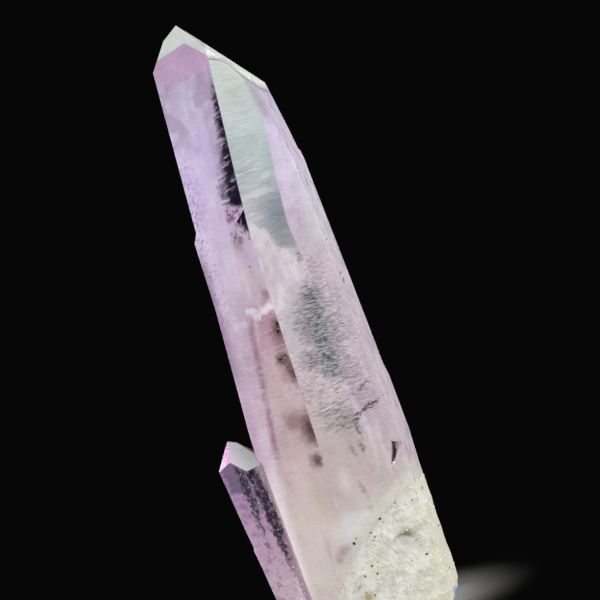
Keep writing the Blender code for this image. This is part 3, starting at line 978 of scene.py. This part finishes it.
def right_face(f):
    """The front right face: a grey-green band by the edge and a lilac one to its right, both lined."""
    lilac = f.shades(
        f.height, 0, 50, (7, 208, 203, 196), (10, 203, 191, 190), (14, 202, 186, 190), (17, 186, 168, 178),
        (20, 190, 173, 183), (24, 196, 182, 190), (27, 201, 187, 197), (30, 207, 193, 208),
        (34, 217, 203, 226), (39, 214, 201, 226), (43, 202, 198, 214),
    )
    grey = f.shades(
        f.height, 0, 50, (8, 212, 206, 200), (10, 207, 191, 189), (14, 199, 184, 184), (18, 204, 190, 194),
        (21, 191, 177, 181), (24.5, 182, 171, 176), (28, 206, 194, 204), (29.5, 160, 162, 170),
        (32, 150, 157, 165), (34, 176, 184, 188), (38, 188, 199, 200), (43, 207, 214, 209),
    )
    inside = f.past_border.ease(0.08, -0.08)
    paint = Paint(f, f.blend(inside, lilac, grey))
    banded = inside * (f.height + (f.rough - 0.5) * 2).ease(29, 31)
    paint(f.fine_lines.ease(0.55, 0.66) * banded * 0.45, 226, 232, 230)
    strips = f.fine_lines.ease(0.47, 0.36) * banded * f.height.ease(38, 33, 0.25, 1)
    paint(strips * 0.6, 112, 124, 134)
    low_right = f.across.ease(-0.6, 1.8) * banded * f.height.between(30, 33.3, 0.8)
    paint(low_right * 0.5, 126, 134, 144)
    wave = f.oval(0.6, 33.9, 2, 0.4, 3, 0.8, f.torn).most(f.oval(1.5, 35, 0.9, 0.3, 8, 0.8, f.torn))
    paint(wave * 0.6, 222, 220, 228)
    paint(f.veils.ease(0.5, 0.7) * (1 - inside) * 0.5, 232, 222, 232)
    paint(f.middle.ease(0.5, 0.36) * (1 - inside) * 0.35, 190, 166, 190)
    lined = f.height.between(16, 28, 2) * 0.8 + 0.2
    lined = lined * (1 - banded) * f.past_right.ease(-0.1, 0.4, 0.12, 1)
    paint(f.lines.ease(0.53, 0.66) * lined * 0.75, 142, 124, 140)
    paint(f.lines.ease(0.46, 0.34) * lined * 0.7, 230, 220, 228)
    beside = f.past_edge.ease(2.4, 0.3) * f.height.between(20, 34, 2)
    paint(beside * 0.4, 232, 224, 230)
    paint(f.oval(0.1, 10.8, 0.8, 1.5) * 0.5, 230, 218, 218)
    faint = f.ovals(PALE_CORE, f.torn)
    paint(faint * 0.4, 152, 140, 146)
    middle = f.height.follow(CORE_LINE) + (f.rough - 0.5) * 1.6
    beside_core = abs(f.across - middle).ease(1.15, 0.15)
    band = beside_core * (f.height + (f.rough_too - 0.5) * 3).between(18.6, 25.9, 1)
    core = f.ovals(DARK_CORE, f.torn).most(band)
    paint(core * 0.6, 152, 158, 158)
    paint(f.fine_lines.ease(0.5, 0.62) * core * 0.45, 106, 112, 118)
    paint(f.oval(2.3, 14.3, 0.17, 1.2, 6, 0.8, f.torn) * 0.75, 112, 112, 120)
    strokes = f.lines.ease(0.46, 0.58)
    paint(strokes * core.most(faint * 0.6) * 0.9, 78, 86, 98)
    tangle = f.ovals(TANGLE, f.torn)
    paint(tangle * 0.5, 160, 153, 154)
    paint(strokes * tangle * 0.7, 98, 98, 106)
    paint(f.fine_lines.ease(0.54, 0.62) * tangle * 0.8, 234, 226, 228)
    pale_edge = f.past_right.ease(1, 0.1) * f.height.between(14, 27, 2)
    paint(pale_edge * 0.55, 210, 198, 206)
    cool_edge = f.past_right.ease(1.3, 0.1) * f.height.between(28.5, 34.5, 1.5)
    paint(cool_edge * 0.6, 206, 209, 214)
    streak = abs(f.past_right - 0.2).ease(0.55, 0.05) * f.height.between(39, 43.6, 1)
    return paint(streak * 0.5, 154, 138, 168)


def roof(f):
    """The frosted white above the two front faces, with a thin grey line along its foot on the right."""
    left = (f.height - 0.28 * f.across).ease(46.92, 47.05)
    right = (f.height + 1.05 * f.across).ease(45.25, 45.38)
    above = f.height - f.across.follow(ROOF_LINE)
    return left.most(right), above


def front_colour(f):
    """Both front faces, the marks that lie in or across them, the frosted top and the foot in the rock."""
    paint = Paint(f, f.blend(f.on_right, left_face(f), right_face(f)))
    feather = f.patch(FEATHER, 0.25, f.torn).most(f.patch(FEATHER_TOP, 0.15, f.torn)) * f.on_right
    plume = f.cloud(f.stretched(2.2, 0.9), 1, 3, 0.6)
    shade = f.blend(plume.ease(0.35, 0.65), rgb(206, 192, 204), rgb(226, 217, 222))
    paint(feather * 0.9, shade)
    veil = f.ovals(LEFT_VEIL, f.torn) * (1 - f.on_right)
    paint(veil * f.fine_lines.ease(0.4, 0.6, 0.75, 1), 234, 220, 234)
    paint(f.patch(CRACK, 0.07, f.torn) * f.lines.ease(0.42, 0.52), 112, 80, 110)
    paint(f.patch(CRACK_TOO, 0.05, f.torn) * 0.8, 124, 96, 118)
    # Painted shade on the nick's two sides, lighter on one and dark on the other
    paint(f.patch(NICK_LIGHTER_SHADE, 0.04) * 0.8, 168, 150, 156)
    paint(f.patch(NICK_DEEP_SHADE, 0.04), 96, 72, 76)
    paint(f.oval(4.12, 10.98, 0.16, 0.12, 0, 0.6), 250, 244, 236)
    paint(f.ovals(SMALL_DARK), 52, 44, 52)
    purple_veil = f.patch(PURPLE_VEIL, 0.12, f.torn)
    mauve = f.blend(f.speckle.ease(0.42, 0.6), rgb(142, 100, 146), rgb(206, 178, 208))
    paint(purple_veil * (1 - f.on_right), mauve)
    squiggles = f.oval(-2, 31, 0.7, 1.1, 0, 0.7, f.torn) * f.speckle.ease(0.5, 0.58)
    paint(squiggles * 0.8, 132, 92, 124)
    # Painted light: a pale glow low on the front, above the rock
    painted_glow = f.oval(-0.5, 7.2, 2, 1.6, 0, 0.7, f.nudged).most(f.oval(0.6, 7.7, 1.2, 0.8, 0, 0.8, f.nudged))
    paint(painted_glow * 0.95, 224, 223, 223)
    purple = (f.height + (f.middle - 0.5) * 2).ease(43, 45) * (1 - f.on_right)
    paint(purple * 0.85, 198, 164, 198)
    frost, above = roof(f)
    band = f.on_right * above.ease(-0.04, 0.02)
    paint(band, f.blend(above.ease(0.05, 0.5), rgb(194, 200, 194), rgb(248, 251, 246)))
    paint(f.on_right * abs(above).ease(0.09, 0.03) * 0.7, 112, 120, 116)
    paint(frost * (1 - band), 212, 218, 215)
    edge = abs(f.past_edge + 0.05).ease(0.09, 0.04) * f.height.between(33, 44.5, 0.6)
    paint(edge * 0.7, 172, 179, 188)
    grit = (f.over_rock + (f.rough - 0.5) * 2.4).ease(1.1, 0)
    cream = f.blend(f.across.ease(-3.5, 0.5), rgb(222, 208, 203), rgb(217, 214, 203))
    return paint(grit * 0.9, f.blend(f.speckle.ease(0.5, 0.66) * 0.5, cream, rgb(236, 234, 227)))


def hidden_colour(f):
    """The sides and the back, in the front's colours, with veils, lines and stains of their own."""
    paint = Paint(f, f.shades(
        f.z, 0, 50, (5, 216, 207, 198), (12, 206, 187, 192), (20, 198, 172, 188), (28, 206, 188, 208),
        (40, 202, 188, 222), (46, 206, 204, 214),
    ))
    paint(f.veils.ease(0.5, 0.68) * 0.6, 196, 206, 206)
    paint(f.veils.ease(0.47, 0.32) * 0.6, 176, 136, 178)
    paint(f.middle.ease(0.52, 0.68) * 0.55, 230, 220, 230)
    stain = f.broad.ease(0.56, 0.68) * f.z.ease(30, 22)
    paint(stain * f.rough.ease(0.4, 0.6) * 0.7, 150, 116, 120)
    paint(f.speckle.ease(0.56, 0.68) * f.broad.ease(0.5, 0.4) * 0.5, 144, 114, 170)
    lined = f.broad.ease(0.4, 0.55) * f.z.between(12, 34, 4) + 0.15
    paint(f.lines.ease(0.53, 0.64) * lined * 0.7, 120, 112, 128)
    paint(f.lines.ease(0.46, 0.34) * lined * 0.6, 230, 220, 228)
    on_tip = f.sloping.ease(0.3, 0.4)
    frosted = f.blend(f.middle.ease(0.3, 0.66), rgb(188, 158, 194), rgb(214, 219, 217))
    paint(on_tip, frosted)
    grit = (f.over_rock + (f.rough - 0.5) * 1.6).ease(1, 0.1)
    return paint(grit * 0.85, 211, 207, 195)


def side_colour(f):
    """The side crystal: lilac, dark where it is clear, with a rose and a white tip face."""
    paint = Paint(f, f.shades(
        f.height, 0, 50, (3, 206, 186, 196), (7, 202, 168, 192), (11, 184, 148, 184), (14, 162, 130, 170),
    ))
    paint(f.veils.ease(0.5, 0.68) * 0.5, 206, 184, 208)
    paint(f.rough.ease(0.5, 0.66) * 0.6, 132, 104, 142)
    paint(f.fine_lines.ease(0.54, 0.66) * 0.3, 214, 200, 216)
    paint(f.patch(SIDE_CAP, 0.12, f.torn) * 0.75, 104, 90, 114)
    dark = side_dark(f)
    flecked = f.blend(f.speckle.ease(0.52, 0.62), rgb(76, 66, 86), rgb(182, 168, 190))
    paint(dark * 0.92, flecked)
    ridge = f.patch(SIDE_RIDGE, 0.04)
    paint(ridge * 0.6, 186, 170, 194)
    paint(f.oval(-7.1, 7.9, 0.12, 0.5, 20, 0.6, f.torn) * 0.7, 110, 84, 112)
    past_seam = f.across - f.height.follow(SIDE_SEAM) + (f.speckle - 0.5) * 0.3
    beside = f.blend(f.speckle.ease(0.56, 0.64), rgb(214, 188, 206), rgb(240, 232, 238))
    paint(past_seam.ease(-0.02, 0.06), beside)
    on_tip = f.sloping.ease(0.35, 0.5)
    white = f.blend(f.across.ease(-7.6, -6.4), rgb(222, 214, 226), rgb(198, 205, 207))
    brown = f.blend(f.across.ease(-7.8, -7), rgb(226, 190, 124), rgb(142, 112, 100))
    rose = f.blend(f.across.ease(-8.6, -7.9), rgb(208, 150, 200), rgb(186, 92, 168))
    tip = f.blend(f.leaning.ease(-0.25, -0.1), rose, white)
    tip = f.blend(f.leaning.ease(0.55, 0.65), tip, brown)
    return paint(on_tip * f.on_front, tip)


def side_dark(f):
    """Where the side crystal is clear and so looks dark."""
    bands = f.patch(SIDE_BAND, 0.2, f.torn).most(f.patch(SIDE_BAND_TOO, 0.16, f.torn))
    return bands * f.rough.ease(0.3, 0.5, 0.6, 1)


def long_window(f):
    """The clear window along the left of the front edge, crossed by a few white wisps."""
    width = f.height.follow(WINDOW_WIDTH)
    ragged = f.past_edge + (f.rough - 0.5) * 0.8 * width
    reach = (ragged / width).ease(-1.15, -0.35)
    foot = (f.height + f.past_edge * 0.35 + (f.speckle - 0.5) * 0.6).ease(33.1, 33.5)
    head = (f.height + (f.rough_too - 0.5) * 3).ease(44, 41.5, 0, 1)
    slanted = f.join(f.across * 0.7, 0, (f.height - f.across * 0.25) * 3.2)
    wisps = f.cloud(slanted, 1, 3, 0.55).ease(0.54, 0.64) * f.past_edge.ease(-0.1, -0.7, 0.3, 0.95)
    return reach * foot * head * f.past_edge.ease(0.03, -0.03) * (1 - wisps)


def low_window(f):
    """The dark corner below the long window."""
    inside = f.patch(LOW_WINDOW, 0.05)
    ragged = (f.height + f.past_edge * 1.1 + (f.speckle - 0.5) * 2.8).ease(30.3, 31.9)
    return inside * ragged * f.past_edge.ease(0.03, -0.03)


def clear_share(f):
    """How clear the quartz is: its windows, and a little everywhere."""
    windows = long_window(f).most(low_window(f))
    brown = f.ovals(BROWN_WINDOWS, f.torn) * (1 - f.on_right)
    windows = windows.most(brown * f.rough.ease(0.35, 0.6, 0.05, 0.4))
    slight = f.broad.ease(0.35, 0.7, 0.02, 0.12)
    front = windows.most(slight) * (1 - f.on_side)
    behind = f.veils.ease(0.58, 0.74) * f.rough.ease(0.35, 0.55) * f.z.ease(16, 22)
    hidden = (behind * 0.6).most(slight) * (1 - f.on_side)
    side = side_dark(f) * f.on_side * f.sloping.ease(0.4, 0.3) * 0.5
    return (f.on_front * front).most((1 - f.on_front) * hidden).most(side)


def amethyst():
    """Pale violet quartz: clouded for the most part, with clear windows."""
    f = Front("amethyst")
    lay_out(f)
    paint = Paint(f, f.blend(f.on_front, hidden_colour(f), front_colour(f)))
    # Painted shade: faces turned to the right are darkened, and on the front below the tip so are faces
    # turned partly right or nearly straight ahead, which leaves the two big front faces as they are
    paint(f.leaning.ease(0.7, 0.95) * 0.3, 180, 166, 184)
    painted_facing_shade = f.leaning.between(0.5, 0.88, 0.1) * 0.55 + f.leaning.between(-0.42, 0.12, 0.1) * 0.3
    paint(painted_facing_shade * f.on_front * f.sloping.ease(0.3, 0.2), 148, 132, 146)
    colour = paint(f.on_side, side_colour(f))
    bumps = f.lines * 0.5 + f.fine_lines * 0.3 + f.rough * 0.2
    bumps = bumps * abs(f.facing).ease(0.2, 0.5, 0.15, 1)
    normal = f.node("ShaderNodeBump", None, {"Strength": 0.4, "Distance": 0.00008, "Height": bumps})
    values = {
        "Base Color": colour,
        "Roughness": f.middle.ease(0.3, 0.7, 0.24, 0.4),
        "IOR": QUARTZ_IOR,
        "Normal": normal,
        "Subsurface Weight": 0.25,
        "Subsurface Radius": (0.9, 0.7, 1),
        "Subsurface Scale": 0.0006,
    }
    milky = f.node("ShaderNodeBsdfPrincipled", None, values)
    values = {
        "Base Color": rgb(238, 232, 244),
        "Roughness": 0.06,
        "IOR": QUARTZ_IOR,
        "Transmission Weight": 1,
        "Normal": normal,
    }
    glass = f.node("ShaderNodeBsdfPrincipled", None, values)
    surface = f.node("ShaderNodeMixShader", None, {0: clear_share(f), 1: milky, 2: glass})
    tint = f.node("ShaderNodeVolumeAbsorption", None, {"Color": rgb(206, 170, 230), "Density": 60.0})
    f.node("ShaderNodeOutputMaterial", None, {"Surface": surface, "Volume": tint})
    return f.material


def matrix_rock():
    """The rock: fine cream and white grains with grey-green between them."""
    f = Front("matrix rock")
    lumps = f.cloud(f.place, 0.9, 4, 0.6)
    fine = f.cloud(f.place, 0.28, 3, 0.6)
    broad = f.cloud(f.place, 3, 2, 0.5)
    cells = f.node("ShaderNodeTexVoronoi", None, {"Vector": f.place, "Scale": 2.6})
    tones = ((0.34, 196, 196, 186), (0.5, 216, 215, 205), (0.66, 230, 229, 220))
    paint = Paint(f, f.shades(lumps, 0, 1, *tones))
    paint(fine.ease(0.52, 0.7) * 0.5, 234, 233, 226)
    paint(fine.ease(0.46, 0.34) * 0.35, 184, 184, 174)
    paint(cells.ease(0.32, 0.1) * 0.4, 238, 237, 230)
    paint(broad.ease(0.52, 0.7) * 0.5, 220, 217, 190)
    paint(f.across.ease(3, 6) * 0.3, 224, 222, 186)
    leaning = f.part(f.node("ShaderNodeTexCoord", out="Normal"), 0)
    # Painted shade: the rock is darker where it faces to the right
    paint(leaning.ease(0.55, 0.9) * 0.55, 168, 166, 152)
    paint(f.across.ease(-1, -3.5) * 0.6, 214, 202, 194)
    over = f.height - f.across.follow(ROCK_TOP) - 0.7
    meeting_edge = (over + (lumps - 0.5) * 2.5).ease(-1.1, -0.1)
    paint(meeting_edge * 0.6, 208, 198, 194)
    stain = f.oval(-0.9, 1.7, 0.75, 0.7) * lumps.ease(0.4, 0.55, 0.4, 1)
    paint(stain * 0.9, 166, 156, 100)
    # Painted shade: a brownish grey patch inside the scoop, below its upper right lip
    brown = f.oval(3.5, 5.55, 1, 0.5, -20) * 0.75
    paint(brown, 166, 158, 132)
    # Painted highlight: a pale spot on the scoop's lip
    lip = f.oval(4.4, 4.9, 0.9, 0.5, -20) * 0.6
    paint(lip, 240, 238, 228)
    paint(f.oval(5.75, 0, 0.4, 0.6, 20, 0.6), 120, 158, 206)
    ice = f.oval(5.2, 7.8, 0.85, 0.9, 0, 0.8)
    streaks = f.cloud(f.stretched(3, 0.8), 1, 3, 0.6).ease(0.45, 0.6)
    paint(ice * streaks * 0.8, 226, 230, 236)
    bumps = lumps * 0.5 + fine * 0.3 + cells * -0.3
    normal = f.node("ShaderNodeBump", None, {"Strength": 0.6, "Distance": 0.0002, "Height": bumps})
    roughness = fine.ease(0.3, 0.7, 0.45, 0.8)
    return f.surface({"Base Color": paint.colour, "Roughness": roughness, "Normal": normal})


def rock_grain():
    """Loose grains of the rock, each in one of its colours."""
    f = Front("rock grains")
    tone = f.node("ShaderNodeTexVoronoi", None, {"Vector": f.place, "Scale": 1.9}, out=1)
    level = f.part(tone, 0)
    colour = f.shades(
        level, 0, 1, (0.1, 208, 207, 198), (0.4, 220, 219, 209), (0.7, 234, 233, 226),
        (0.95, 226, 223, 202),
    )
    fine = f.cloud(f.place, 0.15, 2, 0.6)
    colour = Paint(f, colour)(fine.ease(0.5, 0.7) * 0.4, 240, 239, 232)
    return f.surface({"Base Color": colour, "Roughness": fine.ease(0.3, 0.7, 0.3, 0.6)})


def dark_mineral():
    f = Front("dark specks")
    fine = f.cloud(f.place, 0.12, 3, 0.6)
    colour = f.shades(fine, 0, 1, (0.35, 26, 26, 28), (0.6, 58, 54, 50))
    return f.surface({"Base Color": colour, "Roughness": fine.ease(0.3, 0.7, 0.3, 0.6)})


# Painted glints: a white finish for the small bits that stand for sparkles of light
def painted_glint_finish():
    f = Front("bright flecks")
    fine = f.cloud(f.place, 0.1, 2, 0.5)
    colour = f.shades(fine, 0, 1, (0.35, 248, 246, 250), (0.65, 255, 248, 232))
    return f.surface({"Base Color": colour, "Roughness": 0.2})


def pale_floor():
    """A plain pale floor, which fades out towards its rim."""
    f = Finish("pale floor")
    away = f.vector("LENGTH", f.node("ShaderNodeTexCoord", out="Object"), out=1)
    fading = away.ease(0.015, 0.003) * away.ease(0.0145, 0.004)
    return f.surface({"Base Color": rgb(205, 203, 200), "Roughness": 0.6, "Alpha": fading})


# The studio


CAMERA_ROLL = 18
CAMERA_LENS = 100
FLOOR_RADIUS = 24
FLOOR_DROP = 0.02
MIDDLE = (0, 0, 24)
DIM = 0.002


def studio_axes():
    lean = math.radians(CAMERA_ROLL)
    right = Vector((math.cos(lean), 0, -math.sin(lean)))
    up = Vector((math.sin(lean), 0, math.cos(lean)))
    return right, up, right.cross(up)


def add_camera():
    right, up, back = studio_axes()
    data = bpy.data.cameras.new("camera")
    data.lens = CAMERA_LENS
    data.clip_start = 0.001
    camera = new_object("camera", data)
    target = Vector((FRONT_AHEAD[0] + AXIS[0], AXIS[1], FRONT_AHEAD[1])) * MM
    matrix = Matrix((right, up, back)).transposed().to_4x4()
    matrix.translation = target + back * FRONT_AWAY * MM
    camera.matrix_world = matrix
    bpy.context.scene.camera = camera


def add_light(name, place, aim, size, power, glossy=True):
    """A soft light with its places in millimetres, which glossy surfaces may mirror or not."""
    data = bpy.data.lights.new(name, "AREA")
    data.shape = "RECTANGLE"
    data.size, data.size_y = size[0] * MM, size[1] * MM
    data.energy = power
    light = new_object(name, data)
    light.location = Vector(place) * MM
    towards = (Vector(aim) - Vector(place)).to_track_quat("-Z", "Y")
    light.rotation_mode = "QUATERNION"
    light.rotation_quaternion = towards
    light.visible_glossy = glossy


def add_floor():
    mesh = bmesh.new()
    bmesh.ops.create_circle(mesh, cap_ends=True, segments=96, radius=FLOOR_RADIUS * MM)
    floor = keep_mesh("floor", mesh)
    floor.location.z = -FLOOR_DROP * MM
    floor.data.materials.append(pale_floor())


def add_studio():
    add_camera()
    add_floor()
    add_light("key", (-96, -80, 34), MIDDLE, (60, 60), 0.14, False)
    add_light("fill", (110, -59, 30), MIDDLE, (60, 60), 0.13, False)
    add_light("left rim", (-70, 40, 30), MIDDLE, (20, 60), 0.05)
    add_light("right rim", (90, 10, 30), MIDDLE, (20, 60), 0.05)
    add_light("top", (6, -20, 92), (-2, 0, 46), (24, 24), 0.014)
    world = bpy.data.worlds.new("studio")
    bpy.context.scene.world = world
    world.use_nodes = True
    world.node_tree.nodes["Background"].inputs[0].default_value = (DIM, DIM, DIM, 1)
    bpy.context.scene.view_settings.view_transform = "Standard"


def main():
    crystals = make_crystals(amethyst())
    rock = make_rock(matrix_rock())
    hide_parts("amethyst_crystals")
    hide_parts("matrix_rock")
    grains = make_grains(rock, rock_grain())
    trees = [tree_of(crystals), tree_of(rock)]
    dark = [*seen_places(trees, DARK_SPECKS), *hidden_places(trees, 26, (1, 9), (0.05, 0.15), 8)]
    specks = make_specks("dark_specks", dark, 0.7, dark_mineral(), 1)
    # Small white bits for painted glints, on the front and on the hidden sides
    bright = [*seen_places(trees, PAINTED_GLINTS), *hidden_places(trees, 14, (3, 40), (0.05, 0.1), 21)]
    flecks = make_specks("painted_glints", bright, 0.6, painted_glint_finish(), 2)
    for piece, slot in (
        (crystals, "amethyst"), (flecks, "amethyst"),
        (rock, "matrix_rock"), (grains, "matrix_rock"), (specks, "matrix_rock"),
    ):
        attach(piece, "root")
    add_studio()


main()
